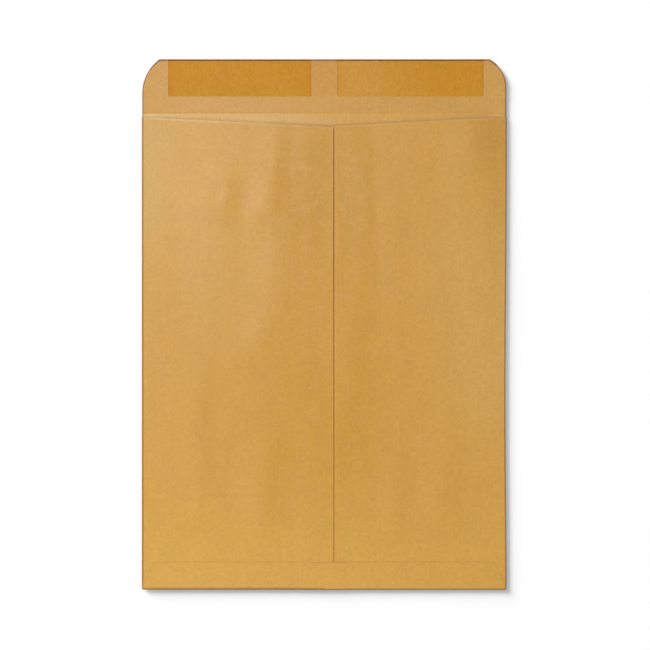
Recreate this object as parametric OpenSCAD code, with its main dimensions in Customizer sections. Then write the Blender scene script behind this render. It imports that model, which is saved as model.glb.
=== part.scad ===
// Open-end paper envelope, lying on its front panel with the seam side up and the seal flap open.
// The folded sheet is worked out as the real one is made: a flat die-cut blank is laid on a lattice
// of columns and rows, and each lattice point is carried to its place on the folded sheet.
// X runs to the right across the seam side, Y runs up to the seal flap and Z points up from the table.

/* [Body] */
// Width across the two side folds
body_w = 254; // [160:1:330]
// Height from the bottom fold to the score line of the seal flap
body_h = 331.8; // [220:0.1:420]
// Thickness of the paper
paper_t = 0.15; // [0.1:0.01:0.25]

/* [Seal flap] */
// Height from the score line to the top edge
seal_h = 37.5; // [32:0.1:60]
// Radius of the rounded top left corner
left_corner_r = 29.3; // [25:0.1:45]
// Distance from the top edge down to the centre of the left corner's arc
left_corner_drop = 23.7; // [8:0.1:24.5]
// Radius of the rounded top right corner
right_corner_r = 22.3; // [20.5:0.1:40]
// Distance from the top edge down to the centre of the right corner's arc
right_corner_drop = 19.5; // [8:0.1:20]
// Distance that each side slants in from the score line to its rounded corner
seal_side_inset = 0; // [0:0.1:2]
// Distance that the gummed top edge curls up from the table
seal_curl = 1.2; // [0:0.1:4]
// Width of the bead that the score line is pressed up into
score_w = 1.2; // [0.6:0.1:1.8]
// Height of the bead at the score line
score_depth = 0.12; // [0:0.01:0.3]

/* [Back panels] */
// Width of the glued lap of the left panel over the right one
seam_lap = 13.2; // [8:0.1:30]
// Distance from the score line down to the throat at the side folds
throat_side = 2.7; // [1:0.1:8]
// Distance from the score line down to the throat at the free edge of each panel
throat_middle = 9.75; // [4:0.05:30]
// Size of the clipped corner where the throat meets the free edge
throat_clip = 2.1; // [0.5:0.1:3.5]

/* [Bottom flap] */
// Height from the bottom fold to the free edge of the flap
bottom_h = 19.4; // [12:0.1:40]
// Distance that each side of the flap lies in from the side fold
bottom_side_inset = 0.5; // [0.2:0.1:3]
// Height above the bottom fold at which the slanting sides begin
bottom_shoulder = 5; // [2:0.1:10]
// Distance that each end of the free edge lies in from the side fold
bottom_end_inset = 8; // [3:0.1:20]

/* [Pocket] */
// Space between the front and back panels at the side folds
fold_gap = 0.3; // [0.2:0.05:0.6]
// Distance that the back panels stand up in the middle of the mouth
gape = 6.5; // [5:0.1:12]
// Fullness of the arch across the pocket, where 2 is a parabola
arch_power = 3.5; // [2:0.1:4]
// Height above the bottom fold up to which the pocket lies flat
flat_h = 24; // [20:1:60]
// Height above the bottom fold from which the pocket gapes fully
full_h = 200; // [120:1:220]

/* [Glued layers] */
// Thickness of the glue between layers that are stuck together
glue_t = 0.02; // [0.01:0.005:0.05]
// Length over which a layer slopes down beside an edge that it covers
step_run = 3; // [2:0.1:6]
// Distance past a covered edge before the slope begins
step_clear = 0.5; // [0.3:0.1:1]

/* [Gum] */
// Height of each dried gum strip, down from the top edge of the seal flap
gum_h = 25.6; // [10:0.1:30]
// Thickness of the dried gum
gum_t = 0.04; // [0.02:0.01:0.08]
// Bare width between the two strips
gum_gap = 18; // [8:0.5:40]
// Bare width from the left side fold to the left strip
gum_margin_left = 18.4; // [14:0.1:40]
// Bare width from the right side fold to the right strip
gum_margin_right = 16.1; // [14:0.1:40]

/* [Hidden] */

kraft_colour = "#cd9c55";
gum_colour = "#c68e3a";

// Steps round each fold, from the middle of the flat front panel to its side, across each back panel,
// up the pocket and round each corner of the seal flap
fold_steps = 8;
front_steps = 4;
panel_steps = 12;
pocket_steps = 12;
corner_steps = 10;

// Levels of the middle of the paper, from the front panel up through the stacked layers
front_z = paper_t / 2;
back_z = front_z + paper_t + fold_gap;
layer_step = paper_t + glue_t;
side_fold_r = (back_z - front_z) / 2;
side_x = body_w / 2 - side_fold_r - paper_t / 2;

// The bottom fold goes round both back panels and is widest over the seam lap
bottom_fold_r_most = (back_z + 2 * layer_step - front_z) / 2;
fold_y = bottom_fold_r_most + paper_t / 2;

lap_x = seam_lap / 2;
top_y = body_h + seal_h;
centre_y = top_y / 2;
throat_side_y = body_h - throat_side;
throat_middle_y = body_h - throat_middle;

function ramp(start, end, value) = min(1, max(0, (value - start) / (end - start)));
function smooth(share) = share * share * (3 - 2 * share);

// How much of the full gape the pocket has at a height above the bottom fold
function gape_share(y) = smooth(ramp(flat_h, full_h, y));

// Height of the arch of the back panels above its level at the side folds
function arch(x, y) = gape * gape_share(y) * (1 - pow(min(1, abs(x) / side_x), arch_power));

// Angle at which the back panels leave the side folds
function arch_angle(y) = atan(gape * gape_share(y) * arch_power / side_x);

// Share of a layer's step at x, for a layer that climbs over an edge on the seam
function lap_share(x) = 1 - ramp(lap_x + step_clear, lap_x + step_run, abs(x));

// Height of the seal flap above the table, with its curl and the bead of its score line
function curl(y) = seal_curl * pow(ramp(body_h, top_y, y), 2);
function bead(y) = score_depth * (1 - ramp(0, score_w / 2, abs(y - body_h)));
function seal_rise(y) = curl(y) + bead(y);

// Columns across one back panel, from its free edge past the lap towards its side fold
panel_columns = concat(
    [-lap_x, throat_clip - lap_x, 0, lap_x - throat_clip, lap_x, lap_x + step_clear, lap_x + step_run],
    [for (k = [1:panel_steps - 1]) lap_x + step_run + (side_x - lap_x - step_run) * sin(90 * k / panel_steps)]
);

// Columns across the right half of the front panel, from the middle out to the side fold
half_columns = concat(
    [lap_x + step_clear, lap_x + step_run],
    [for (k = [1:front_steps]) lap_x + step_run + (side_x - lap_x - step_run) * k / front_steps]
);

// Every column of the blank in order, as its zone and its place within the zone
LEFT_PANEL = 0;
LEFT_FOLD = 1;
FRONT = 2;
RIGHT_FOLD = 3;
RIGHT_PANEL = 4;
columns = concat(
    [for (x = panel_columns) [LEFT_PANEL, -x]],
    [for (k = [0:fold_steps - 1]) [LEFT_FOLD, k / fold_steps]],
    [for (k = [len(half_columns) - 1:-1:0]) [FRONT, -half_columns[k]]],
    [[FRONT, 0]],
    [for (x = half_columns) [FRONT, x]],
    [for (k = [1:fold_steps]) [RIGHT_FOLD, k / fold_steps]],
    [for (k = [len(panel_columns) - 1:-1:0]) [RIGHT_PANEL, panel_columns[k]]]
);
column_count = len(columns);
front_first = len(panel_columns) + fold_steps;
front_last = front_first + 2 * len(half_columns);

// Every row of the blank in order, as its zone and its place within the zone
BOTTOM_FLAP = 0;
BOTTOM_FOLD = 1;
BODY = 2;
THROAT = 3;
SEAL_FLAP = 4;
corner_centre_y = top_y - left_corner_drop;
corner_sweep = asin(left_corner_drop / left_corner_r);
score_end_y = body_h + score_w / 2;
seal_rows = concat(
    [body_h - score_w / 2, body_h, score_end_y, (score_end_y + corner_centre_y) / 2],
    [for (k = [0:corner_steps]) corner_centre_y + left_corner_r * sin(corner_sweep * k / corner_steps)]
);
last_body_y = throat_middle_y - throat_clip - step_run;
rows = concat(
    [[BOTTOM_FLAP, bottom_h], [BOTTOM_FLAP, bottom_shoulder]],
    [for (k = [0:fold_steps - 1]) [BOTTOM_FOLD, 180 * (1 - k / fold_steps)]],
    [[BODY, fold_y]],
    [for (k = [0:pocket_steps]) [BODY, flat_h + (full_h - flat_h) * k / pocket_steps]],
    [[BODY, last_body_y]],
    [[THROAT, 0]],
    [for (y = seal_rows) [SEAL_FLAP, y]]
);
row_count = len(rows);
body_first = 2 + fold_steps;
body_last = body_first + pocket_steps + 3;

// Half the width of the blank on the rows where only the front panel goes on
function bottom_half_w(y) =
    side_x - bottom_side_inset
    - (bottom_end_inset - bottom_side_inset) * ramp(bottom_shoulder, bottom_h, y);
function corner_inset(r, rise) = r - sqrt(pow(r, 2) - pow(max(0, rise), 2));
function seal_corner_w(y, r, centre_y) =
    side_x - seal_side_inset * ramp(body_h, centre_y, y) - corner_inset(r, y - centre_y);
function seal_half_w(x, y) =
    x < 0 ? seal_corner_w(y, left_corner_r, corner_centre_y)
    : seal_corner_w(y, right_corner_r, top_y - right_corner_drop);

// The outer half of each side follows the outline, and the middle of the blank stays where it is
kept_x = side_x / 2;
function fitted(x, half_w) =
    abs(x) <= kept_x ? x : sign(x) * (kept_x + (abs(x) - kept_x) * (half_w - kept_x) / (side_x - kept_x));

// Height of the throat on a back panel, where reach is measured from the middle towards its side fold
function throat_y(reach) =
    throat_side_y
    - (throat_side_y - throat_middle_y) * (side_x - reach) / (side_x + lap_x)
    - (reach <= -lap_x ? throat_clip : 0);

// Each place is a point on the middle of the paper and the outward direction there
function side_fold_place(side, angle, y) = [
    [
        side * (side_x + side_fold_r * sin(angle)),
        y,
        front_z + side_fold_r * (1 - cos(angle))
    ],
    [side * sin(angle), 0, -cos(angle)]
];
function panel_place(x, y, climb) = [
    [x, y, back_z + arch(x, y) + layer_step * climb],
    [0, 0, 1]
];
function body_place(zone, at, y) =
    zone == LEFT_PANEL ? panel_place(at, y, lap_share(at))
    : zone == LEFT_FOLD ? side_fold_place(-1, (180 - arch_angle(y)) * (1 - at), y)
    : zone == FRONT ? [[at, y, front_z], [0, 0, -1]]
    : zone == RIGHT_FOLD ? side_fold_place(1, (180 - arch_angle(y)) * at, y)
    : panel_place(at, y, 0);

function bottom_fold_r(x) = (back_z + layer_step * (1 + lap_share(x)) - front_z) / 2;
function bottom_fold_place(x, angle) = [
    [
        fitted(x, side_x - bottom_side_inset),
        fold_y - bottom_fold_r(x) * sin(angle),
        front_z + bottom_fold_r(x) * (1 - cos(angle))
    ],
    [0, -sin(angle), -cos(angle)]
];
function bottom_flap_place(x, y) = [
    [fitted(x, bottom_half_w(y)), y, front_z + 2 * bottom_fold_r(x)],
    [0, 0, 1]
];
function seal_flap_place(x, y) = [
    [fitted(x, seal_half_w(x, y)), y, front_z + seal_rise(y)],
    [0, 0, -1]
];

function throat_row_y(zone, at) =
    zone == LEFT_PANEL ? throat_y(-at)
    : zone == RIGHT_PANEL ? throat_y(at)
    : throat_side_y;

function place(column, row) =
    row[0] == BODY ? body_place(column[0], column[1], row[1])
    : row[0] == THROAT ? body_place(column[0], column[1], throat_row_y(column[0], column[1]))
    : row[0] == BOTTOM_FLAP ? bottom_flap_place(column[1], row[1])
    : row[0] == BOTTOM_FOLD ? bottom_fold_place(column[1], row[1])
    : seal_flap_place(column[1], row[1]);

function centred(point) = [point[0], point[1] - centre_y, point[2]];

// The blank covers a lattice cell if the cell is on the body, or on a flap of the front panel
function covered(i, j) =
    i >= 0 && i < column_count - 1 && j >= 0 && j < row_count - 1
    && ((j >= body_first && j < body_last) || (i >= front_first && i < front_last));

// Triangles of one cell, on the outer face, on the inner face and round the cut edges of the blank
function point_index(i, j, inner) = inner * column_count * row_count + j * column_count + i;
function edge_faces(a, b, inner_a, inner_b) = [[b, a, inner_a], [b, inner_a, inner_b]];
function cell_faces(i, j) =
    let (
        a = point_index(i, j, 0),
        b = point_index(i + 1, j, 0),
        c = point_index(i + 1, j + 1, 0),
        d = point_index(i, j + 1, 0),
        inner_a = point_index(i, j, 1),
        inner_b = point_index(i + 1, j, 1),
        inner_c = point_index(i + 1, j + 1, 1),
        inner_d = point_index(i, j + 1, 1)
    )
    concat(
        [[a, b, c], [a, c, d], [inner_a, inner_c, inner_b], [inner_a, inner_d, inner_c]],
        covered(i, j - 1) ? [] : edge_faces(a, b, inner_a, inner_b),
        covered(i + 1, j) ? [] : edge_faces(b, c, inner_b, inner_c),
        covered(i, j + 1) ? [] : edge_faces(c, d, inner_c, inner_d),
        covered(i - 1, j) ? [] : edge_faces(d, a, inner_d, inner_a)
    );

// The whole paper envelope, folded from one blank, with its lap and bottom flap stuck down
module folded_sheet() {
    places = [
        for (row = rows)
            for (i = [0:column_count - 1])
                place(row[0] == BODY || row[0] == THROAT ? columns[i] : columns[flap_column(i)], row)
    ];
    outer = [for (p = places) centred(p[0] + p[1] * paper_t / 2)];
    inner = [for (p = places) centred(p[0] - p[1] * paper_t / 2)];
    faces = [
        for (j = [0:row_count - 2])
            for (i = [0:column_count - 2])
                if (covered(i, j))
                    each cell_faces(i, j)
    ];
    color(kraft_colour)
        polyhedron(points = concat(outer, inner), faces = faces, convexity = 8);
}

// Lattice points beside the flaps lie on no face, so they take the nearest front column
function flap_column(i) = min(front_last, max(front_first, i));

// Upper face of the seal flap, as heights at its rows
seal_top = [for (y = seal_rows) [y, paper_t + seal_rise(y)]];

// A coat of dried gum from x_start to x_end, lying on the upper face of the seal flap
module gum_strip(x_start, x_end) {
    start_y = top_y - gum_h;
    line = concat(
        [[start_y, lookup(start_y, seal_top)]],
        [for (p = seal_top) if (p[0] > start_y) p]
    );
    last = len(line) - 1;
    profile = concat(line, [for (k = [last:-1:0]) line[k] + [0, gum_t]]);
    color(gum_colour)
        translate([x_start, -centre_y, 0])
            rotate([90, 0, 90])
                linear_extrude(x_end - x_start)
                    polygon(profile);
}

module gum_strip_left() {
    gum_strip(gum_margin_left - body_w / 2, -gum_gap / 2);
}

module gum_strip_right() {
    gum_strip(gum_gap / 2, body_w / 2 - gum_margin_right);
}

folded_sheet();
gum_strip_left();
gum_strip_right();
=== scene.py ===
"""Looks of an open-end kraft paper envelope that lies seam side up with its seal flap open.

The sheet is drawn as the flat blank that the maker cuts, and a Geometry Nodes tree folds it,
opens its pocket and gives it its thickness. A second tree lays the gum strips on the flap.
Everything is in metres. X runs across the seam side, Y up to the seal flap, Z up from the table.
"""
import math

import bpy
import numpy as np
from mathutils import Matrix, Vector


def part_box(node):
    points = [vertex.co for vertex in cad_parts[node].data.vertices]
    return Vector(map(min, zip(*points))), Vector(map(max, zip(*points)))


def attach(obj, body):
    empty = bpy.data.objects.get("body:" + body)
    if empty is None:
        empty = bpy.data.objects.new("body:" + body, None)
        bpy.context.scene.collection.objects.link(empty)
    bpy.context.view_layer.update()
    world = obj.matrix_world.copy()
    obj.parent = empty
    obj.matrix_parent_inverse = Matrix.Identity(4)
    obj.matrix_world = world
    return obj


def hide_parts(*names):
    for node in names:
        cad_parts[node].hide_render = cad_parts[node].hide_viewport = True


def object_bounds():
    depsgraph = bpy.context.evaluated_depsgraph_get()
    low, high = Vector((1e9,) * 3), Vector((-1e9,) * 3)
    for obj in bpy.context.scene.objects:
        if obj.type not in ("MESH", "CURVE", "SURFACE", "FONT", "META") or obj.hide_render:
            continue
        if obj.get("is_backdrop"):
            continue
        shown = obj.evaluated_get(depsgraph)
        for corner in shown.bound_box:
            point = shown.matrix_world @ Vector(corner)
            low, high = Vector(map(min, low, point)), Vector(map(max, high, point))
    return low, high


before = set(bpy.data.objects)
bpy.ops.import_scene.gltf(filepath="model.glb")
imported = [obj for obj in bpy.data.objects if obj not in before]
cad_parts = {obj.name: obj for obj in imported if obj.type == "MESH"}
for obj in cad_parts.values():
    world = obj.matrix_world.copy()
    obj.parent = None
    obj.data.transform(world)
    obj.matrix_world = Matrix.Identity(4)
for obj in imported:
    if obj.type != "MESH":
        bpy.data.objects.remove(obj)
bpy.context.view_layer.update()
sheet_low, sheet_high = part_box("folded_sheet")

MM = 0.001

# Sizes that the frame gives
BODY_W = sheet_high.x - sheet_low.x
TOP_Y = sheet_high.y - sheet_low.y
CENTRE_Y = -sheet_low.y

# Paper and the layers of the folded sheet
PAPER_T = 0.15 * MM
GLUE_T = 0.02 * MM
FOLD_GAP = 0.3 * MM
LAYER_STEP = PAPER_T + GLUE_T
SIDE_FOLD_R = (PAPER_T + FOLD_GAP) / 2
SIDE_X = BODY_W / 2 - SIDE_FOLD_R - PAPER_T / 2
SIDE_FOLD_LENGTH = math.pi * SIDE_FOLD_R
BOTTOM_FOLD_R = SIDE_FOLD_R + LAYER_STEP / 2
BOTTOM_FOLD_LENGTH = math.pi * BOTTOM_FOLD_R
FOLD_Y = BOTTOM_FOLD_R + LAYER_STEP / 2 + PAPER_T / 2

# Seam, throat and bottom flap of the blank
LAP_X = 13.2 * MM / 2
STEP_CLEAR = 0.5 * MM
STEP_RUN = 18 * MM
BOTTOM_H = 19.4 * MM
BOTTOM_SIDE_INSET = 0.5 * MM
BOTTOM_SHOULDER = 5 * MM
BOTTOM_END_INSET = 8 * MM
SEAL_H = 37.5 * MM
SCORE_Y = TOP_Y - SEAL_H
THROAT_SIDE_Y = SCORE_Y - 2.7 * MM
THROAT_MIDDLE_Y = SCORE_Y - 9.75 * MM
THROAT_CLIP = 2.1 * MM
BODY_END_Y = THROAT_MIDDLE_Y - THROAT_CLIP - 3 * MM

# Seal flap
LEFT_CORNER_R = 29.3 * MM
LEFT_CORNER_DROP = 23.7 * MM
RIGHT_CORNER_R = 22.3 * MM
RIGHT_CORNER_DROP = 19.5 * MM
CORNER_Y = TOP_Y - LEFT_CORNER_DROP
SCORE_W = 1.2 * MM

# Gum strips on the seal flap
GUM_H = 25.7 * MM
GUM_GAP = 18 * MM
GUM_TOP_MARGIN = 0.15 * MM

# How far apart the blank's columns and rows lie
OPEN_STEP = 2.6 * MM
EDGE_STEP = 0.33 * MM
EDGE_BAND = 1.32 * MM
SLOPE_FOOT = 4 * MM
SLOPE_FOOT_STEP = 0.5 * MM
SEAM_STEP = 1.5 * MM
BOTTOM_FLAP_STEP = 2 * MM
SHOULDER_STEP = 1.2 * MM
SEAL_FLAP_STEP = 1.6 * MM
FOLD_STEPS = 10
SCORE_STEPS = 8
CORNER_STEPS = 24
GUM_COLUMNS = 160
GUM_ROWS = 48
THROAT_SHARES = (0, 0.2, 0.4, 0.6, 0.75, 0.87, 0.94, 1)

# Points nearer to each other than this are one point
WELD = 0.001 * MM

# Room for rounding where a column lies right on a fold line
ROUNDING = 1e-9

# Where no edge of a kind is near, its distance is kept as this
FAR = 1.0

# Faces that meet at more than this are drawn with a sharp edge
SHARP_ANGLE = math.radians(40)


# ---------------------------------------------------------------- the flat blank

def steps(start, end, spacing):
    """Places from start up to end, about spacing apart, without end itself."""
    count = max(1, round(abs(end - start) / spacing))
    return [start + (end - start) * k / count for k in range(count)]


def ramp(start, end, value):
    return min(1.0, max(0.0, (value - start) / (end - start)))


def blank_columns():
    """Distances along the paper from the middle of the front panel to a back panel's free edge."""
    panel_start = SIDE_X + SIDE_FOLD_LENGTH
    seam_slope = panel_start + SIDE_X - LAP_X - STEP_RUN - STEP_CLEAR
    panel_end = panel_start + SIDE_X + LAP_X
    return (
        steps(0, SIDE_X - EDGE_BAND, OPEN_STEP)
        + steps(SIDE_X - EDGE_BAND, SIDE_X, EDGE_STEP)
        + steps(SIDE_X, panel_start, SIDE_FOLD_LENGTH / FOLD_STEPS)
        + steps(panel_start, panel_start + EDGE_BAND, EDGE_STEP)
        + steps(panel_start + EDGE_BAND, seam_slope, OPEN_STEP)
        + steps(seam_slope, seam_slope + SLOPE_FOOT, SLOPE_FOOT_STEP)
        + steps(seam_slope + SLOPE_FOOT, panel_end - EDGE_BAND, SEAM_STEP)
        + steps(panel_end - EDGE_BAND, panel_end, EDGE_STEP)
        + [panel_end]
    )


def seal_corner(side):
    """Radius and drop of the seal flap's corner arc on one side."""
    return (LEFT_CORNER_R, LEFT_CORNER_DROP) if side < 0 else (RIGHT_CORNER_R, RIGHT_CORNER_DROP)


def seal_half_width(side, y):
    """Half the width of the seal flap on one side at a height, round its corner arc."""
    radius, drop = seal_corner(side)
    rise = max(0.0, y - TOP_Y + drop)
    return SIDE_X - radius + math.sqrt(radius ** 2 - rise ** 2)


def bottom_half_width(y):
    """Half the width of the bottom flap at a height above the bottom fold, once it is folded up."""
    slant = (BOTTOM_END_INSET - BOTTOM_SIDE_INSET) * ramp(BOTTOM_SHOULDER, BOTTOM_H, y)
    return SIDE_X - BOTTOM_SIDE_INSET - slant


def throat_height(inward):
    """Height of a back panel's throat at a distance from the middle towards the panel's fold."""
    slope = (SIDE_X - inward) / (SIDE_X + LAP_X)
    clip = max(0.0, THROAT_CLIP - (inward + LAP_X))
    return THROAT_SIDE_Y - (THROAT_SIDE_Y - THROAT_MIDDLE_Y) * slope - clip


def fitted(x, half_width):
    """A column's place on a flap: the outer half of the columns follow the flap's outline."""
    kept = SIDE_X / 2
    if abs(x) <= kept:
        return x
    return math.copysign(kept + (abs(x) - kept) * (half_width - kept) / (SIDE_X - kept), x)


def blank_rows():
    """Rows from the bottom flap's free edge to the seal flap's top, as zone and height."""
    sweep = math.asin(LEFT_CORNER_DROP / LEFT_CORNER_R)
    corner = [
        CORNER_Y + LEFT_CORNER_R * math.sin(sweep * k / CORNER_STEPS)
        for k in range(CORNER_STEPS + 1)]
    folded_up = [BOTTOM_H, *steps(BOTTOM_H - EDGE_STEP, BOTTOM_H - EDGE_BAND, EDGE_STEP)]
    folded_up += steps(BOTTOM_H - EDGE_BAND, BOTTOM_SHOULDER, BOTTOM_FLAP_STEP)
    folded_up += steps(BOTTOM_SHOULDER, FOLD_Y, SHOULDER_STEP)
    crease = steps(FOLD_Y - BOTTOM_FOLD_LENGTH, FOLD_Y, BOTTOM_FOLD_LENGTH / FOLD_STEPS)
    body = steps(FOLD_Y, FOLD_Y + EDGE_BAND, EDGE_STEP)
    body += steps(FOLD_Y + EDGE_BAND, BODY_END_Y, OPEN_STEP)
    score = steps(SCORE_Y - SCORE_W / 2, SCORE_Y + SCORE_W / 2, SCORE_W / SCORE_STEPS)
    seal = steps(SCORE_Y + SCORE_W / 2, CORNER_Y, SEAL_FLAP_STEP)
    return (
        [("bottom flap", y) for y in folded_up]
        + [("bottom fold", y) for y in crease]
        + [("body", y) for y in body]
        + [("throat", share) for share in THROAT_SHARES]
        + [("seal flap", y) for y in (*score, *seal, *corner)]
    )


def draw_blank():
    """The flat die-cut blank as a mesh, outer side down, with the distances its finish needs."""
    half = blank_columns()
    columns = [-u for u in reversed(half[1:])] + half
    rows = blank_rows()
    panel_start = SIDE_X + SIDE_FOLD_LENGTH
    panel_end = half[-1]
    body_first = next(j for j, row in enumerate(rows) if row[0] == "body")
    body_last = max(j for j, row in enumerate(rows) if row[0] == "throat")
    front_first = next(i for i, u in enumerate(columns) if u >= -SIDE_X - ROUNDING)
    front_last = len(columns) - 1 - front_first

    width = len(columns)
    places, gaps = [], []
    for zone, level in rows:
        for u in columns:
            along = abs(u)
            on_panel = along > SIDE_X + ROUNDING
            x, y = u, level
            seam_gap = cut_gap = rim_gap = FAR
            fold_gap = abs(along - SIDE_X - SIDE_FOLD_LENGTH / 2) - SIDE_FOLD_LENGTH / 2
            if zone == "body":
                fold_gap = min(fold_gap, y - FOLD_Y)
                seam_gap = panel_end - along
            elif zone == "throat":
                inward = SIDE_X - max(0.0, along - panel_start)
                top = throat_height(inward) if on_panel else THROAT_SIDE_Y
                y = BODY_END_Y + level * (top - BODY_END_Y)
                seam_gap = panel_end - along
                if on_panel:
                    cut_gap = top - y
                elif level == 1:
                    rim_gap = SIDE_X - along
            elif zone == "seal flap":
                half_width = seal_half_width(u, y)
                x = fitted(max(-SIDE_X, min(SIDE_X, u)), half_width)
                radius, drop = seal_corner(u)
                rise = y - TOP_Y + drop
                run = abs(x) - (SIDE_X - radius)
                round_gap = radius - math.hypot(rise, run) if rise > 0 and run > 0 else FAR
                rim_gap = min(TOP_Y - y, half_width - abs(x), round_gap)
                fold_gap = FAR
            elif zone == "bottom fold":
                x = fitted(max(-SIDE_X, min(SIDE_X, u)), SIDE_X - BOTTOM_SIDE_INSET)
                fold_gap = 0.0
            else:
                half_width = bottom_half_width(level)
                x = fitted(max(-SIDE_X, min(SIDE_X, u)), half_width)
                y = FOLD_Y - BOTTOM_FOLD_LENGTH - (level - FOLD_Y)
                cut_gap = min(BOTTOM_H - level, half_width - abs(x))
                fold_gap = level - FOLD_Y
            places.append((x, y, 0.0))
            gaps.append([max(0.0, gap) for gap in (seam_gap, cut_gap, rim_gap, fold_gap)])

    faces = []
    for j in range(len(rows) - 1):
        for i in range(width - 1):
            if body_first <= j < body_last or front_first <= i < front_last:
                a = j * width + i
                faces.append((a, a + width, a + width + 1, a + 1))
    mesh = bpy.data.meshes.new("blank")
    mesh.from_pydata(places, [], faces)
    for name, values in zip(("seam_gap", "cut_gap", "rim_gap", "fold_gap"), zip(*gaps)):
        mesh.attributes.new(name, "FLOAT", "POINT").data.foreach_set("value", values)
    flat = mesh.attributes.new("flat", "FLOAT_VECTOR", "POINT")
    flat.data.foreach_set("vector", np.array(places, np.float32).ravel())
    blank = bpy.data.objects.new("blank", mesh)
    bpy.context.scene.collection.objects.link(blank)
    return blank


# ---------------------------------------------------------------- sums in node trees

class Field:
    """A number that a node tree works out at each point, so that a rule reads as a sum."""

    def __init__(self, tree, socket):
        self.tree = tree
        self.socket = socket

    def maths(self, operation, *others):
        node = self.tree.nodes.new("ShaderNodeMath")
        node.operation = operation
        for socket, value in zip(node.inputs, (self, *others)):
            feed(self.tree, socket, value)
        return Field(self.tree, node.outputs[0])

    def __add__(self, other): return self.maths("ADD", other)
    def __radd__(self, other): return self.maths("ADD", other)
    def __sub__(self, other): return self.maths("SUBTRACT", other)
    def __rsub__(self, other): return self.maths("MULTIPLY", -1.0) + other
    def __mul__(self, other): return self.maths("MULTIPLY", other)
    def __rmul__(self, other): return self.maths("MULTIPLY", other)
    def __truediv__(self, other): return self.maths("DIVIDE", other)
    def __pow__(self, other): return self.maths("POWER", other)
    def __abs__(self): return self.maths("ABSOLUTE")
    def least(self, other): return self.maths("MINIMUM", other)
    def most(self, other): return self.maths("MAXIMUM", other)
    def above(self, other): return self.maths("GREATER_THAN", other)

    def ramp(self, start, end, smooth=True):
        """0 below start, 1 above end."""
        node = self.tree.nodes.new("ShaderNodeMapRange")
        node.interpolation_type = "SMOOTHSTEP" if smooth else "LINEAR"
        feed(self.tree, node.inputs["Value"], self)
        feed(self.tree, node.inputs["From Min"], start)
        feed(self.tree, node.inputs["From Max"], end)
        return Field(self.tree, node.outputs["Result"])

    def fall(self, start, end, smooth=True):
        """1 below start, 0 above end."""
        return 1.0 - self.ramp(start, end, smooth)

    def near(self, middle, core, reach):
        """1 within core of the middle, 0 beyond reach of it."""
        return abs(self - middle).fall(core, reach)


def feed(tree, socket, value):
    """Joins a field or an output to a socket, or writes a plain value on it."""
    if isinstance(value, Field):
        value = value.socket
    if isinstance(value, bpy.types.NodeSocket):
        tree.links.new(value, socket)
    else:
        socket.default_value = value


def add_node(tree, kind, settings=(), **inputs):
    """A new node. Settings are the node's own choices, and inputs are named with _ for a space."""
    node = tree.nodes.new(kind)
    for name, value in dict(settings).items():
        setattr(node, name, value)
    for name, value in inputs.items():
        feed(tree, node.inputs[name.replace("_", " ")], value)
    return node


def new_tree(name, kind, inputs, outputs):
    """An empty node tree with named sockets, given as name: (socket type, value).

    Returns the tree, its inputs by name, the numbers among them as fields, and its outputs.
    """
    tree = bpy.data.node_groups.new(name, kind)
    for direction, sockets in (("INPUT", inputs), ("OUTPUT", outputs)):
        for label, (socket_type, value) in sockets.items():
            socket = tree.interface.new_socket(label, in_out=direction, socket_type=socket_type)
            if value is not None:
                socket.default_value = value
    enter = tree.nodes.new("NodeGroupInput").outputs
    given = {
        label: Field(tree, enter[label]) if socket_type == FLOAT else enter[label]
        for label, (socket_type, _) in inputs.items()}
    leave = tree.nodes.new("NodeGroupOutput")
    return tree, given, leave.inputs


FLOAT, VECTOR, GEOMETRY, MATERIAL, OBJECT = (
    "NodeSocketFloat", "NodeSocketVector", "NodeSocketGeometry", "NodeSocketMaterial",
    "NodeSocketObject")


# ---------------------------------------------------------------- trees that shape the paper

def dent_tree():
    """One soft dent or bump: a long oval hill, turned about its centre."""
    tree, given, out = new_tree(
        "Paper dent", "GeometryNodeTree",
        {"X": (FLOAT, 0.0), "Y": (FLOAT, 0.0), "Centre X": (FLOAT, 0.0), "Centre Y": (FLOAT, 0.0),
         "Half width": (FLOAT, 0.01), "Half length": (FLOAT, 0.03), "Turn": (FLOAT, 0.0),
         "Height": (FLOAT, 0.001)},
        {"Rise": (FLOAT, None)})
    dx = given["X"] - given["Centre X"]
    dy = given["Y"] - given["Centre Y"]
    cosine = given["Turn"].maths("COSINE")
    sine = given["Turn"].maths("SINE")
    across = (dx * cosine + dy * sine) / given["Half width"]
    along = (dy * cosine - dx * sine) / given["Half length"]
    spread = across * across + along * along
    feed(tree, out["Rise"], (spread * -1.0).maths("EXPONENT") * given["Height"])
    return tree


# Soft dents and bumps of the back panels, in millimetres from the middle of the envelope:
# place across and up, half width, half length, turn in degrees from upright, height
PANEL_DENTS = {
    "hollow by the left fold": (-116, -20, 16, 70, 0, -0.7),
    "ridge left of the seam": (-30, 60, 12, 60, 0, 0.4),
    "ridge left of the thumb crease": (-70, 88, 9, 16, -20, 1.2),
    "thumb crease": (-57, 91, 6, 18, -16, 0.3),
    "ridge right of the thumb crease": (-42, 87, 9, 18, -16, 1.0),
    "ridge on the right": (104, 40, 26, 45, 0, 1.8),
    "fall to the right fold": (106, 120, 16, 34, 8, 1.8),
    "ridge right of the seam": (17, -28, 14, 44, -6, 0.9),
    "dimple left of the seam": (-50, -14, 9, 14, 0, 0.7),
    "second ridge on the left": (-88, -90, 10, 60, 0, 1.0),
    "ridge low on the left": (-43, -122, 10, 44, 0, 1.1),
    "ridge low on the right": (49, -140, 8, 36, 2, 1.0),
    "second ridge low on the right": (84, -120, 11, 50, -2, 0.9),
}


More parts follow.
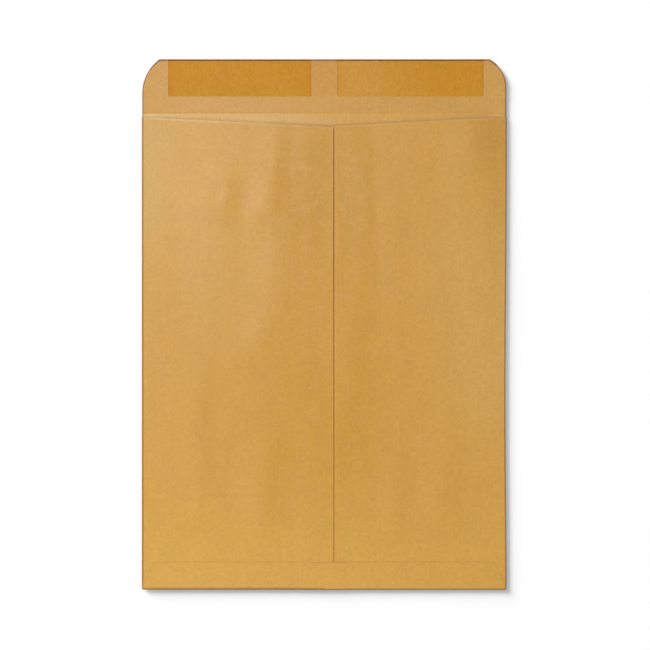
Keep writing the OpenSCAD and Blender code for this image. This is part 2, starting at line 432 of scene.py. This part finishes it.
def thicken(tree, geometry, thickness):
    """Gives a surface its thickness, half to each side, and closes its edges."""
    normal = add_node(tree, "GeometryNodeInputNormal")
    inward = add_node(
        tree, "ShaderNodeVectorMath", {"operation": "SCALE"},
        Vector=normal.outputs["Normal"], Scale=thickness * -0.5)
    inner = add_node(
        tree, "GeometryNodeSetPosition", Geometry=geometry, Offset=inward.outputs["Vector"])
    outer = add_node(
        tree, "GeometryNodeExtrudeMesh", {"mode": "FACES"},
        Mesh=inner.outputs["Geometry"], Offset_Scale=thickness, Individual=False)
    lining = add_node(tree, "GeometryNodeFlipFaces", Mesh=inner.outputs["Geometry"])
    return closed_shell(tree, outer.outputs["Mesh"], lining.outputs["Mesh"])


def closed_shell(tree, upper, lower):
    """Joins two sides of a thin piece and welds them along their edges."""
    joined = add_node(tree, "GeometryNodeJoinGeometry")
    tree.links.new(upper, joined.inputs["Geometry"])
    tree.links.new(lower, joined.inputs["Geometry"])
    return add_node(
        tree, "GeometryNodeMergeByDistance", Geometry=joined.outputs["Geometry"],
        Distance=WELD).outputs["Geometry"]


def finish_tree(tree, geometry, material, out):
    """Ends a tree in plain geometry with its material."""
    real = add_node(tree, "GeometryNodeRealizeInstances", Geometry=geometry)
    dressed = add_node(
        tree, "GeometryNodeSetMaterial", Geometry=real.outputs["Geometry"], Material=material)
    feed(tree, out, dressed.outputs["Geometry"])


def soft_relief(tree, given, x, y):
    """Height of the soft dents and the cockle of the back panels."""
    dent_group = dent_tree()
    relief = None
    for name, (cx, cy, half_width, half_length, degrees, height) in PANEL_DENTS.items():
        dent = add_node(
            tree, "GeometryNodeGroup", {"node_tree": dent_group, "label": name},
            X=x, Y=y, Centre_X=cx * MM, Centre_Y=cy * MM, Half_width=half_width * MM,
            Half_length=half_length * MM, Turn=math.radians(degrees), Height=height * MM)
        hill = Field(tree, dent.outputs["Rise"])
        relief = hill if relief is None else relief + hill
    spot = add_node(tree, "ShaderNodeCombineXYZ", X=x, Y=y / given["Cockle stretch"], Z=0.0)
    cockle = add_node(
        tree, "ShaderNodeTexNoise", {"noise_dimensions": "4D"}, Vector=spot.outputs["Vector"],
        W=given["Seed"], Scale=given["Cockle size"] ** -1.0, Detail=1.0)
    waves = (Field(tree, cockle.outputs[0]) - 0.5) * given["Cockle height"]
    return relief + waves


def edge_lift(given, x, y):
    """How far the edges of the lying paper stand off the table."""
    side_line, run = given["Side fold line"], given["Lift run"]
    bottom_line, top_line = given["Bottom fold line"], given["Top line"]
    near_side = (abs(x).least(side_line) - side_line + run).ramp(0.0, run, smooth=False) ** 2.0
    near_bottom = (bottom_line + run - y.most(bottom_line)).ramp(0.0, run, smooth=False) ** 2.0
    near_top = (y - top_line + run).ramp(0.0, run, smooth=False) ** 2.0
    near_end = near_bottom + near_top * given["Top lift share"]
    return (near_side + near_end - near_side * near_end) * given["Edge lift"]


def fold_tree():
    """Folds the flat blank into the envelope, opens its pocket and gives it its thickness."""
    tree, given, out = new_tree(
        "Fold the blank", "GeometryNodeTree",
        {"Blank": (GEOMETRY, None),
         "Paper thickness": (FLOAT, PAPER_T), "Layer step": (FLOAT, LAYER_STEP),
         "Side fold line": (FLOAT, SIDE_X), "Side fold radius": (FLOAT, SIDE_FOLD_R),
         "Bottom fold line": (FLOAT, FOLD_Y), "Bottom fold radius": (FLOAT, BOTTOM_FOLD_R),
         "Score line": (FLOAT, SCORE_Y), "Score width": (FLOAT, SCORE_W),
         "Score bead": (FLOAT, 0.12 * MM), "Top line": (FLOAT, TOP_Y),
         "Seal curl": (FLOAT, 1.2 * MM), "Lap half width": (FLOAT, LAP_X),
         "Loose lap": (FLOAT, 0.15 * MM), "Loose width": (FLOAT, 4 * MM),
         "Gape": (FLOAT, 6.5 * MM), "Fullness": (FLOAT, 3.5),
         "Flat height": (FLOAT, 24 * MM), "Full height": (FLOAT, 200 * MM),
         "Mouth droop": (FLOAT, 0.5), "Droop run": (FLOAT, 75 * MM),
         "Mouth bulge": (FLOAT, 2.2 * MM), "Bulge front": (FLOAT, -1.5 * MM),
         "Bulge crest": (FLOAT, 7.5 * MM), "Bulge crest end": (FLOAT, 20 * MM),
         "Bulge end": (FLOAT, 80 * MM), "Bulge fullness": (FLOAT, 5.0),
         "Stuck width": (FLOAT, 14 * MM), "Stuck height": (FLOAT, 20 * MM),
         "Free height": (FLOAT, 60 * MM),
         "Cockle height": (FLOAT, 1.1 * MM), "Cockle size": (FLOAT, 26 * MM),
         "Cockle stretch": (FLOAT, 1 / 0.3), "Seed": (FLOAT, 3.0), "Centre": (FLOAT, CENTRE_Y),
         "Edge lift": (FLOAT, 1.2 * MM), "Lift run": (FLOAT, 45 * MM),
         "Top lift share": (FLOAT, 0.3), "Right fold bow": (FLOAT, 1.0 * MM),
         "Bow middle": (FLOAT, -50 * MM), "Bow reach": (FLOAT, 105 * MM),
         "Material": (MATERIAL, None)},
        {"Envelope": (GEOMETRY, None)})
    place = add_node(tree, "GeometryNodeInputPosition").outputs["Position"]
    flat = add_node(tree, "ShaderNodeSeparateXYZ", Vector=place).outputs
    u, v = Field(tree, flat["X"]), Field(tree, flat["Y"])
    side_line, fold_r = given["Side fold line"], given["Side fold radius"]
    bottom_line, score_line = given["Bottom fold line"], given["Score line"]

    # Round the side folds and back over the front panel, which leans open towards the mouth
    open_share = v.ramp(given["Flat height"], given["Full height"])
    droop = v.ramp(score_line - given["Droop run"], score_line)
    rise = open_share * given["Gape"] * (1.0 - droop * given["Mouth droop"])
    lean = (rise * given["Fullness"] / side_line).maths("ARCTANGENT")
    past_fold = (abs(u) - side_line).most(0.0)
    turn = lean * -1.0 + math.pi
    angle = (past_fold / fold_r).least(turn)
    rest = (past_fold - turn * fold_r).most(0.0)
    inward = abs(u).least(side_line) + angle.maths("SINE") * fold_r - rest
    side = u.maths("SIGN")
    x = inward * side
    on_panel = rest.above(0.0)
    reach = (abs(x) / side_line).least(1.0)
    arch = (1.0 - reach ** given["Fullness"]) * rise * on_panel
    side_lift = (1.0 - angle.maths("COSINE")) * fold_r

    # The left panel's lap climbs over the right panel, and its edge is loose towards the throat
    lap_x = given["Lap half width"]
    lap_share = abs(x).fall(lap_x + STEP_CLEAR, lap_x + STEP_RUN)
    on_left_panel = on_panel * (side * -1.0).above(0.0)
    climb = lap_share * given["Layer step"] * on_left_panel
    near_throat = v.ramp(given["Full height"], score_line, smooth=False)
    lap_edge = (lap_x - x).fall(0.0, given["Loose width"])
    loose = lap_edge * near_throat * on_left_panel * given["Loose lap"]

    # Round the bottom fold and up over both back panels
    below = (bottom_line - v).most(0.0)
    stack_r = lap_share * given["Layer step"] * 0.5 + given["Bottom fold radius"]
    tuck = (below / stack_r).least(math.pi)
    tucked_rest = (below - stack_r * math.pi).most(0.0)
    y = v.most(bottom_line) - tuck.maths("SINE") * stack_r + tucked_rest
    bottom_lift = (1.0 - tuck.maths("COSINE")) * stack_r

    # The seal flap's score and curl
    bead = abs(v - score_line).fall(0.0, given["Score width"] * 0.5) * given["Score bead"]
    curl = v.ramp(score_line, given["Top line"], smooth=False) ** 2.0 * given["Seal curl"]

    # The front panel stands up a little behind the score, where the mouth is open
    behind_score = score_line - v
    bulge = behind_score.ramp(given["Bulge front"], given["Bulge crest"])
    bulge = bulge * behind_score.fall(given["Bulge crest end"], given["Bulge end"])
    bulge = bulge * (1.0 - (abs(u) / side_line).least(1.0) ** given["Bulge fullness"])
    bulge = bulge * given["Mouth bulge"] * (1.0 - on_panel)

    # Dents and cockle fade out where the layers are stuck together
    free = rest.ramp(0.0, given["Stuck width"])
    free = free * y.ramp(given["Stuck height"], given["Free height"])
    spot_y = y - given["Centre"]
    relief = soft_relief(tree, given, x, spot_y) * free

    lift = edge_lift(given, x, y)
    z = side_lift + arch + climb + loose + bottom_lift + bead + curl + bulge + relief + lift
    z = z + given["Paper thickness"] * 0.5

    # The right side fold isn't quite straight
    bow = (((spot_y - given["Bow middle"]) / given["Bow reach"]) ** 2.0 * -1.0).maths("EXPONENT")
    x = x - (x.most(0.0) / side_line) ** 2.0 * bow * given["Right fold bow"]
    folded = add_node(tree, "ShaderNodeCombineXYZ", X=x, Y=spot_y, Z=z)
    shaped = add_node(
        tree, "GeometryNodeSetPosition", Geometry=given["Blank"],
        Position=folded.outputs["Vector"])
    solid = thicken(tree, shaped.outputs["Geometry"], given["Paper thickness"])
    finish_tree(tree, solid, given["Material"], out["Envelope"])
    return tree


def gum_tree():
    """Lays a thin coat of gum on the seal flap, with a thicker rim and an uneven lower edge."""
    tree, given, out = new_tree(
        "Lay a gum strip", "GeometryNodeTree",
        {"Geometry": (GEOMETRY, None), "Paper": (OBJECT, None),
         "Left": (FLOAT, 0.0), "Right": (FLOAT, 0.1), "Bottom": (FLOAT, 0.0), "Top": (FLOAT, 0.03),
         "Thickness": (FLOAT, 0.04 * MM), "Edge share": (FLOAT, 0.25),
         "Edge width": (FLOAT, 0.5 * MM), "Rim swell": (FLOAT, 0.6),
         "Rim start": (FLOAT, 0.6 * MM), "Rim end": (FLOAT, 2.5 * MM),
         "Uneven edge": (FLOAT, 0.35 * MM), "Uneven scale": (FLOAT, 160.0), "Seed": (FLOAT, 1.0),
         "Drop height": (FLOAT, 20 * MM), "Drop reach": (FLOAT, 100 * MM),
         "Material": (MATERIAL, None)},
        {"Gum": (GEOMETRY, None)})
    left, bottom = given["Left"], given["Bottom"]
    width, height = given["Right"] - left, given["Top"] - bottom
    grid = add_node(
        tree, "GeometryNodeMeshGrid", Size_X=1.0, Size_Y=1.0,
        Vertices_X=GUM_COLUMNS, Vertices_Y=GUM_ROWS)
    place = add_node(tree, "GeometryNodeInputPosition").outputs["Position"]
    flat = add_node(tree, "ShaderNodeSeparateXYZ", Vector=place).outputs
    across, up = Field(tree, flat["X"]) + 0.5, Field(tree, flat["Y"]) + 0.5
    x = left + width * across
    line = add_node(tree, "ShaderNodeCombineXYZ", X=x, Y=0.0, Z=0.0)
    wander = add_node(
        tree, "ShaderNodeTexNoise", {"noise_dimensions": "4D"}, Vector=line.outputs["Vector"],
        W=given["Seed"], Scale=given["Uneven scale"], Detail=3.0)
    ragged = (Field(tree, wander.outputs[0]) - 0.5) * given["Uneven edge"] * 2.0 * (1.0 - up)
    y = bottom + height * up + ragged

    # Distances from the edges, kept for the finish
    end_gap = across.least(1.0 - across) * width
    top_gap = (1.0 - up) * height
    rim_gap = end_gap.least(top_gap).least(up * height)
    measured = grid.outputs["Mesh"]
    for name, gap in (("end_gap", end_gap), ("top_gap", top_gap), ("rim_gap", rim_gap)):
        measured = add_node(
            tree, "GeometryNodeStoreNamedAttribute", {"data_type": "FLOAT", "domain": "POINT"},
            Geometry=measured, Name=name, Value=gap).outputs["Geometry"]

    # Let the coat fall on the paper
    above = add_node(tree, "ShaderNodeCombineXYZ", X=x, Y=y, Z=given["Drop height"])
    spread = add_node(
        tree, "GeometryNodeSetPosition", Geometry=measured, Position=above.outputs["Vector"])
    paper = add_node(tree, "GeometryNodeObjectInfo", Object=given["Paper"])
    drop = add_node(
        tree, "GeometryNodeRaycast", Target_Geometry=paper.outputs["Geometry"],
        Ray_Direction=(0.0, 0.0, -1.0), Ray_Length=given["Drop reach"])
    landed = add_node(
        tree, "GeometryNodeSetPosition", Geometry=spread.outputs["Geometry"],
        Position=drop.outputs["Hit Position"]).outputs["Geometry"]

    # Give it its thickness, which swells along the rim and thins out at the very edge
    gap = Field(tree, add_node(
        tree, "GeometryNodeInputNamedAttribute", {"data_type": "FLOAT"},
        Name="rim_gap").outputs["Attribute"])
    swell = gap.fall(given["Rim start"], given["Rim end"]) * given["Rim swell"] + 1.0
    swell = gap.ramp(0.0, given["Edge width"]) * swell
    share = swell * (1.0 - given["Edge share"]) + given["Edge share"]
    coat = add_node(
        tree, "GeometryNodeExtrudeMesh", {"mode": "FACES"}, Mesh=landed,
        Offset=(0.0, 0.0, 1.0), Offset_Scale=share * given["Thickness"], Individual=False)
    underside = add_node(tree, "GeometryNodeFlipFaces", Mesh=landed)
    closed = closed_shell(tree, coat.outputs["Mesh"], underside.outputs["Mesh"])
    finish_tree(tree, closed, given["Material"], out["Gum"])
    return tree


def made_by(tree, name, carrier, values):
    """Runs a tree on the carrier object and returns its result as a plain mesh object."""
    modifier = carrier.modifiers.new(tree.name, "NODES")
    modifier.node_group = tree
    sockets = {s.name: s.identifier for s in tree.interface.items_tree if s.in_out == "INPUT"}
    for label, value in values.items():
        modifier[sockets[label]] = value
    bpy.context.view_layer.update()
    shaped = carrier.evaluated_get(bpy.context.evaluated_depsgraph_get())
    mesh = bpy.data.meshes.new_from_object(shaped)
    mesh.name = name
    carrier.modifiers.remove(modifier)
    bpy.data.objects.remove(carrier)
    mesh.shade_smooth()
    mesh.set_sharp_from_angle(angle=SHARP_ANGLE)
    piece = bpy.data.objects.new(name, mesh)
    bpy.context.scene.collection.objects.link(piece)
    return piece


# ---------------------------------------------------------------- materials

def noise(tree, place, size, stretch=(1, 1, 1), detail=2.0, roughness=0.5, distortion=0.0):
    """A soft random field whose spots are about size metres across, stretched by stretch."""
    scaled = add_node(
        tree, "ShaderNodeMapping", Vector=place, Scale=tuple(1 / (size * s) for s in stretch))
    cloud = add_node(
        tree, "ShaderNodeTexNoise", Vector=scaled.outputs["Vector"], Scale=1.0, Detail=detail,
        Roughness=roughness, Distortion=distortion)
    return Field(tree, cloud.outputs[0])


def fibre_group():
    """The look of kraft pulp: cloudy formation, fibre mottle and streaks up the sheet."""
    tree, given, out = new_tree(
        "Kraft fibres", "ShaderNodeTree",
        {"Place": (VECTOR, None), "Clouds": (FLOAT, 0.12), "Mottle": (FLOAT, 0.36),
         "Streaks": (FLOAT, 0.1), "Fibres": (FLOAT, 0.44)},
        {"Tone": (FLOAT, None), "Height": (FLOAT, None)})
    place = given["Place"]
    clouds = noise(tree, place, 16 * MM, detail=4.0) - 0.5
    mottle = noise(tree, place, 3.2 * MM, detail=4.0, roughness=0.7) - 0.5
    streaks = noise(tree, place, 1.5 * MM, stretch=(1, 26, 1), detail=2.0) - 0.5
    fibres = noise(
        tree, place, 0.9 * MM, stretch=(1, 2.2, 1), detail=3.0, roughness=0.6,
        distortion=1.5) - 0.5
    tone = clouds * given["Clouds"] + mottle * given["Mottle"]
    tone = tone + streaks * given["Streaks"] + fibres * given["Fibres"]
    feed(tree, out["Tone"], tone + 1.0)
    feed(tree, out["Height"], mottle * 0.5 + fibres * 0.5 + 0.5)
    return tree


def edge_group():
    """How near an edge or a fold is, in a narrow band that is broken up a little."""
    tree, given, out = new_tree(
        "Edge band", "ShaderNodeTree",
        {"Place": (VECTOR, None), "Gap": (FLOAT, 1.0), "Band": (FLOAT, 0.5 * MM),
         "Depth": (FLOAT, 0.4)},
        {"Share": (FLOAT, None)})
    uneven = noise(tree, given["Place"], 3 * MM, detail=2.0) * 0.8 + 0.6
    band = uneven * given["Band"]
    feed(tree, out["Share"], given["Gap"].fall(band * 0.6, band * 1.3) * given["Depth"])
    return tree


def new_material(name):
    """A new material, its node tree and the inputs of its shader."""
    material = bpy.data.materials.new(name)
    material.use_nodes = True
    tree = material.node_tree
    return material, tree, tree.nodes["Principled BSDF"].inputs


def attribute(tree, name):
    """What the mesh keeps under this name."""
    return add_node(tree, "ShaderNodeAttribute", {"attribute_name": name})


def times(tree, colour, factor):
    """A colour made lighter or darker by a field."""
    scaled = add_node(tree, "ShaderNodeVectorMath", {"operation": "SCALE"}, Scale=factor)
    feed(tree, scaled.inputs[0], colour)
    return scaled.outputs["Vector"]


def mixed(tree, share, first, second):
    """A colour that goes from the first to the second as the share goes from 0 to 1."""
    mix = add_node(tree, "ShaderNodeMix", {"data_type": "RGBA"}, Factor=share)
    for socket, colour in ((mix.inputs[6], first), (mix.inputs[7], second)):
        feed(tree, socket, (*colour, 1.0) if isinstance(colour, tuple) else colour)
    return mix.outputs[2]


def dress(tree, shader, colour, pulp, strength, distance):
    """Gives a shader its colour with the fibres in it, and their relief."""
    feed(tree, shader["Base Color"], times(tree, colour, pulp.outputs["Tone"]))
    bump = add_node(
        tree, "ShaderNodeBump", Height=pulp.outputs["Height"], Strength=strength,
        Distance=distance)
    feed(tree, shader["Normal"], bump.outputs["Normal"])


def edge_band_share(tree, edges, place, name, band, depth):
    """Share of an edge band beside the edge whose distance the mesh keeps under this name, used for
    grime with painted shade and for the gum's orange end.
    """
    return add_node(
        tree, "ShaderNodeGroup", {"node_tree": edges, "label": name}, Place=place,
        Gap=attribute(tree, name).outputs["Fac"], Band=band, Depth=depth).outputs["Share"]


# Colours of the paper, before its fibres: the open paper, its tones and marks, its painted light
# and shade, and its grime with painted edge shade
PAPER = {
    "open": (0.57, 0.297, 0.047),
    "beside the seam": (0.54, 0.271, 0.028),
    "beside the top of the seam": (0.518, 0.259, 0.027),
    "rosy pulp": (0.57, 0.283, 0.048),
    # Painted sheen, painted shade and painted light on the seam side
    "painted sheen on the right side": (0.61, 0.342, 0.082),
    "painted shade in the right corner": (0.535, 0.265, 0.046),
    "painted shade on the left side": (0.547, 0.283, 0.042),
    "painted sheen at the top of the left side": (0.547, 0.312, 0.057),
    "painted light towards the bottom": (0.583, 0.318, 0.049),
    # Paler paper behind the score, broken fibres with a painted highlight, then a painted highlight
    # on the throat's edge
    "broken fibres and painted highlight": (0.69, 0.43, 0.17),
    "painted highlight on the throat edge": (0.67, 0.41, 0.15),
    # A line that is partly glue and partly painted shadow beside the lap, then a painted highlight
    "glue and painted shadow beside the lap": (0.25, 0.08, 0.003),
    "painted highlight beside the lap": (0.60, 0.288, 0.037),
    "inner side": (0.56, 0.287, 0.053),
    "trace of gum": (0.545, 0.25, 0.025),
    # Grime and painted shade at cut edges, folds and the lap's edge
    "grime_and_edge_shade": (0.16, 0.045, 0.003),
}

# Colours of the gum, in the same way
GUM = {
    "thick": (0.565, 0.251, 0.017),
    "thin": (0.60, 0.288, 0.048),
    "left end": (0.57, 0.20, 0.020),
    # Grime and painted shade at the gum's ends and top edge
    "grime_and_edge_shade": (0.15, 0.04, 0.003),
}


def paper_marks(tree, place):
    """How strong each tone, mark, painted light and painted shade of the paper is at a place of the
    flat blank.

    They are laid over each other in this order. Heights count up from the bottom fold.
    """
    spot = add_node(tree, "ShaderNodeSeparateXYZ", Vector=place).outputs
    across, up = Field(tree, spot["X"]), Field(tree, spot["Y"])
    seam_gap, fold_gap, cut_gap = (
        Field(tree, attribute(tree, name).outputs["Fac"])
        for name in ("seam_gap", "fold_gap", "cut_gap"))
    on_panel = abs(across).above(SIDE_X)
    on_right_panel = across.above(SIDE_X)
    from_left, from_right = abs(across + SIDE_X), abs(across - SIDE_X)
    marks = {}

    # The paper beside the seam is a little darker and browner, more so towards its top
    border = 40 * MM + 6 * MM * up.fall(190 * MM, 290 * MM)
    frayed = 3 * MM + 14 * MM * up.fall(120 * MM, 240 * MM)
    seam_darkening = seam_gap.fall(border - frayed, border + frayed) * up.ramp(20 * MM, 110 * MM)
    seam_darkening = seam_darkening * (noise(tree, place, 20 * MM, stretch=(1, 3, 1)) * 0.8 + 0.45)
    marks["beside the seam"] = seam_darkening
    below_throat = 1.0 - up.ramp(306 * MM, 322 * MM) * 0.6
    marks["beside the top of the seam"] = seam_darkening * up.ramp(220 * MM, 270 * MM) * below_throat

    rosy = noise(tree, place, 9 * MM, detail=3.0, roughness=0.6).ramp(0.45, 0.62)
    marks["rosy pulp"] = rosy * 0.6

    # Painted light and shade on the seam side
    # Painted sheen on the right side, at middle height
    rubbed = fold_gap.fall(5 * MM, 75 * MM) * on_right_panel
    marks["painted sheen on the right side"] = rubbed * up.near(190 * MM, 20 * MM, 130 * MM) * 0.9
    # Painted shade in the top right corner
    corner = from_right.fall(8 * MM, 48 * MM) * on_right_panel
    marks["painted shade in the right corner"] = corner * up.ramp(280 * MM, 325 * MM) * 0.9
    # Painted shade on the left side, at middle height
    soiled = from_left.fall(20 * MM, 120 * MM) * up.near(165 * MM, 30 * MM, 100 * MM)
    marks["painted shade on the left side"] = soiled * 0.8
    # Painted sheen at the top of the left side
    left_top_sheen = from_left.fall(4 * MM, 26 * MM) * up.ramp(225 * MM, 260 * MM)
    marks["painted sheen at the top of the left side"] = left_top_sheen * 0.9
    # Painted light towards the bottom, most of all on the left
    marks["painted light towards the bottom"] = (
        up.fall(25 * MM, 80 * MM) * (1.0 - from_left.ramp(10 * MM, 120 * MM) * 0.45))

    # Behind the score the front panel is paler, partly from broken fibres and partly from a painted
    # highlight, most of all on the left
    behind_score = up.near(SCORE_Y - 4 * MM, 2 * MM, 8 * MM) * (1.0 - on_panel)
    behind_score = behind_score * (1.0 - across.ramp(-60 * MM, 30 * MM) * 0.7)
    marks["broken fibres and painted highlight"] = behind_score * 0.9
    # A paler band along the throat's cut edge is a painted highlight, strongest on the left
    throat = cut_gap.fall(0.3 * MM, 2.0 * MM) * on_panel * up.above(BODY_END_Y - 9 * MM)
    marks["painted highlight on the throat edge"] = throat * (0.85 - from_left.ramp(50 * MM, 110 * MM) * 0.6)

    # Beside the edge of the lap, on the right panel: a dark line that is partly glue and partly
    # painted shadow of the lap's edge, then a thin painted highlight
    glue = seam_gap.near(2 * LAP_X + 0.1 * MM, 0.25 * MM, 0.65 * MM) * on_right_panel
    marks["glue and painted shadow beside the lap"] = glue * 0.45
    beside = seam_gap.near(2 * LAP_X + 1.7 * MM, 0.3 * MM, 0.9 * MM) * on_right_panel
    marks["painted highlight beside the lap"] = beside * 0.8

    # The seal flap shows the paper's inner side, with a trace of gum between the strips
    marks["inner side"] = up.ramp(SCORE_Y - 0.5 * MM, SCORE_Y + 0.5 * MM)
    between = abs(across).fall(GUM_GAP / 2 - 1 * MM, GUM_GAP / 2 + 1 * MM)
    marks["trace of gum"] = up.above(TOP_Y - GUM_H) * between * 0.6
    return marks


def kraft_paper(fibres, edges):
    """Brown kraft paper, with its tones, marks, painted light and shade, and its grime and painted
    edge shade where the flat blank has them.
    """
    material, tree, shader = new_material("kraft_paper")
    place = attribute(tree, "flat").outputs["Vector"]
    pulp = add_node(tree, "ShaderNodeGroup", {"node_tree": fibres}, Place=place)
    paper = PAPER["open"]
    for name, share in paper_marks(tree, place).items():
        paper = mixed(tree, share, paper, PAPER[name])

    # Cut edges and folds are browner than the open paper, from grime and painted shade, most of all
    # at the top and on the left
    spot = add_node(tree, "ShaderNodeSeparateXYZ", Vector=place).outputs
    across, up = Field(tree, spot["X"]), Field(tree, spot["Y"])
    at_top = up.ramp(TOP_Y - 8 * MM, TOP_Y - 2 * MM)
    on_left = (across * -1.0).above(0.0)
    for name, band, depth in (
            ("rim_gap", 0.85 * MM + at_top * 0.3 * MM, 0.7 + at_top * 0.15),
            ("fold_gap", 0.5 * MM + on_left * 0.55 * MM, 0.6),
            ("seam_gap", 0.4 * MM, up.ramp(60 * MM, 260 * MM) * 0.5 + 0.5),
            ("cut_gap", 0.35 * MM, 0.2)):
        grime_and_edge_shade = edge_band_share(tree, edges, place, name, band, depth)
        paper = mixed(tree, grime_and_edge_shade, paper, PAPER["grime_and_edge_shade"])
    dress(tree, shader, paper, pulp, strength=0.25, distance=0.03 * MM)
    shader["Roughness"].default_value = 0.37
    shader["Specular IOR Level"].default_value = 0.45
    return material


def dried_gum(fibres, edges):
    """Dried gum, so thin that the fibres of the paper show in it."""
    material, tree, shader = new_material("dried_gum")
    place = add_node(tree, "ShaderNodeTexCoord").outputs["Object"]
    pulp = add_node(
        tree, "ShaderNodeGroup", {"node_tree": fibres}, Place=place, Mottle=0.36, Fibres=0.6)
    across = Field(tree, add_node(tree, "ShaderNodeSeparateXYZ", Vector=place).outputs["X"])
    thin = across.ramp(0.0, 9 * MM) * across.fall(25 * MM, 75 * MM) * 0.8
    thin = thin + noise(tree, place, 30 * MM, detail=2.0).ramp(0.35, 0.75) * 0.3
    gum = mixed(tree, thin, GUM["thick"], GUM["thin"])

    # It is more orange at its left end, and its ends and its top edge darken with grime and painted
    # edge shade like the paper's
    orange = 0.5 - across.ramp(-70 * MM, -30 * MM) * 0.35
    for name, band, depth, colour in (
            ("end_gap", 4 * MM, orange, "left end"),
            ("end_gap", 0.5 * MM, 0.28, "grime_and_edge_shade"),
            ("top_gap", 1.0 * MM, 0.9, "grime_and_edge_shade")):
        gum = mixed(tree, edge_band_share(tree, edges, place, name, band, depth), gum, GUM[colour])
    dress(tree, shader, gum, pulp, strength=0.15, distance=0.02 * MM)
    shader["Roughness"].default_value = 0.5
    shader["Specular IOR Level"].default_value = 0.15
    return material


# ---------------------------------------------------------------- the object

paper_fibres = fibre_group()
paper_edges = edge_group()
paper_material = kraft_paper(paper_fibres, paper_edges)
gum_material = dried_gum(paper_fibres, paper_edges)

sheet = made_by(fold_tree(), "envelope_sheet", draw_blank(), {"Material": paper_material})
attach(sheet, "root")
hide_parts("folded_sheet")

gum_rule = gum_tree()
strips = []
for side, seed in (("left", 1.0), ("right", 7.0)):
    low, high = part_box("gum_strip_" + side)
    carrier = bpy.data.objects.new("gum_carrier", bpy.data.meshes.new("gum_carrier"))
    bpy.context.scene.collection.objects.link(carrier)
    strip = made_by(gum_rule, "gum_coat_" + side, carrier, {
        "Paper": sheet, "Left": low.x, "Right": high.x, "Bottom": low.y,
        "Top": high.y - GUM_TOP_MARGIN, "Seed": seed, "Material": gum_material})
    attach(strip, "root")
    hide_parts("gum_strip_" + side)
    strips.append(strip)


# ---------------------------------------------------------------- floor, lights and camera

def floor():
    """The white table that the envelope lies on, a hair below it."""
    reach, height = 6.0, -0.02 * MM
    corners = [
        (-reach, -reach, height), (reach, -reach, height),
        (reach, reach, height), (-reach, reach, height)]
    mesh = bpy.data.meshes.new("table_top")
    mesh.from_pydata(corners, [], [(0, 1, 2, 3)])
    material, tree, shader = new_material("white_table")
    shader["Base Color"].default_value = (0.93, 0.93, 0.93, 1)
    shader["Roughness"].default_value = 1.0
    shader["Specular IOR Level"].default_value = 0.0
    mesh.materials.append(material)
    table = bpy.data.objects.new("table_top", mesh)
    bpy.context.scene.collection.objects.link(table)
    table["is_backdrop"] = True
    return table


def softbox(name, place, size, level):
    """A square softbox aimed at the envelope, whose light on a level sheet is level times white."""
    light = bpy.data.lights.new(name, "AREA")
    light.shape = "SQUARE"
    light.size = size
    place = Vector(place)
    slant = place.z / place.length
    light.energy = level * (math.pi * place.length) ** 2 / slant
    lamp = bpy.data.objects.new(name, light)
    lamp.location = place
    lamp.rotation_euler = (-place).to_track_quat("-Z", "Y").to_euler()
    bpy.context.scene.collection.objects.link(lamp)
    return lamp


def far_light(name, side, elevation, spread, level):
    """Soft light from far off, whose light on a level sheet is level times white.

    Side is its way across and up the table. It leaves no gloss, which would bleach the paper
    wherever it is seen against the light.
    """
    light = bpy.data.lights.new(name, "SUN")
    light.angle = math.radians(spread)
    light.energy = level * math.pi / math.sin(math.radians(elevation))
    lamp = bpy.data.objects.new(name, light)
    lamp.visible_glossy = False
    towards = Vector((*side, 0)).normalized() * math.cos(math.radians(elevation))
    towards.z = math.sin(math.radians(elevation))
    lamp.rotation_euler = (-towards).to_track_quat("-Z", "Y").to_euler()
    bpy.context.scene.collection.objects.link(lamp)
    return lamp


def light_only(name, lamps, objects):
    """Keeps the lamps' light to these objects."""
    lit = bpy.data.collections.new(name)
    for item in objects:
        lit.objects.link(item)
    for lamp in lamps:
        lamp.light_linking.receiver_collection = lit


def room(level):
    """Even light from all round, which the camera and the gloss see as white."""
    world = bpy.data.worlds.new("room")
    bpy.context.scene.world = world
    world.use_nodes = True
    tree = world.node_tree
    rays = add_node(tree, "ShaderNodeLightPath").outputs
    seen = Field(tree, rays["Is Camera Ray"]).most(rays["Is Glossy Ray"])
    seen = seen.most(rays["Is Transmission Ray"])
    background = tree.nodes["Background"]
    background.inputs["Color"].default_value = (1, 1, 1, 1)
    feed(tree, background.inputs["Strength"], seen * (1.0 - level) + level)


def camera():
    """Straight above, with the photograph's frame."""
    view_width = 452.6 * MM
    middle = Vector((0.56 * MM, -0.3 * MM, 1.5 * MM))
    data = bpy.data.cameras.new("camera")
    data.lens = 100.0
    data.sensor_width = 36.0
    eye = bpy.data.objects.new("camera", data)
    eye.location = middle
    eye.location.z += view_width * data.lens / data.sensor_width
    bpy.context.scene.collection.objects.link(eye)
    bpy.context.scene.camera = eye


table = floor()
softbox("window_softbox", place=(-0.6, 0.52, 2.4), size=0.8, level=0.22)
light_only("paper_only", [
    softbox("left_softbox", place=(-0.75, -0.65, 0.8), size=0.5, level=0.25),
    far_light("top_light", side=(0, 1), elevation=28.0, spread=30.0, level=0.16),
    far_light("right_light", side=(1, 0), elevation=32.0, spread=30.0, level=0.05),
], [sheet, *strips])
light_only("table_only", [
    far_light("skimming_light", side=(-1.2, 1.1), elevation=15.5, spread=28.0, level=0.54),
], [table])
room(level=0.35)
camera()
bpy.context.scene.view_settings.view_transform = "Standard"

low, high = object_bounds()
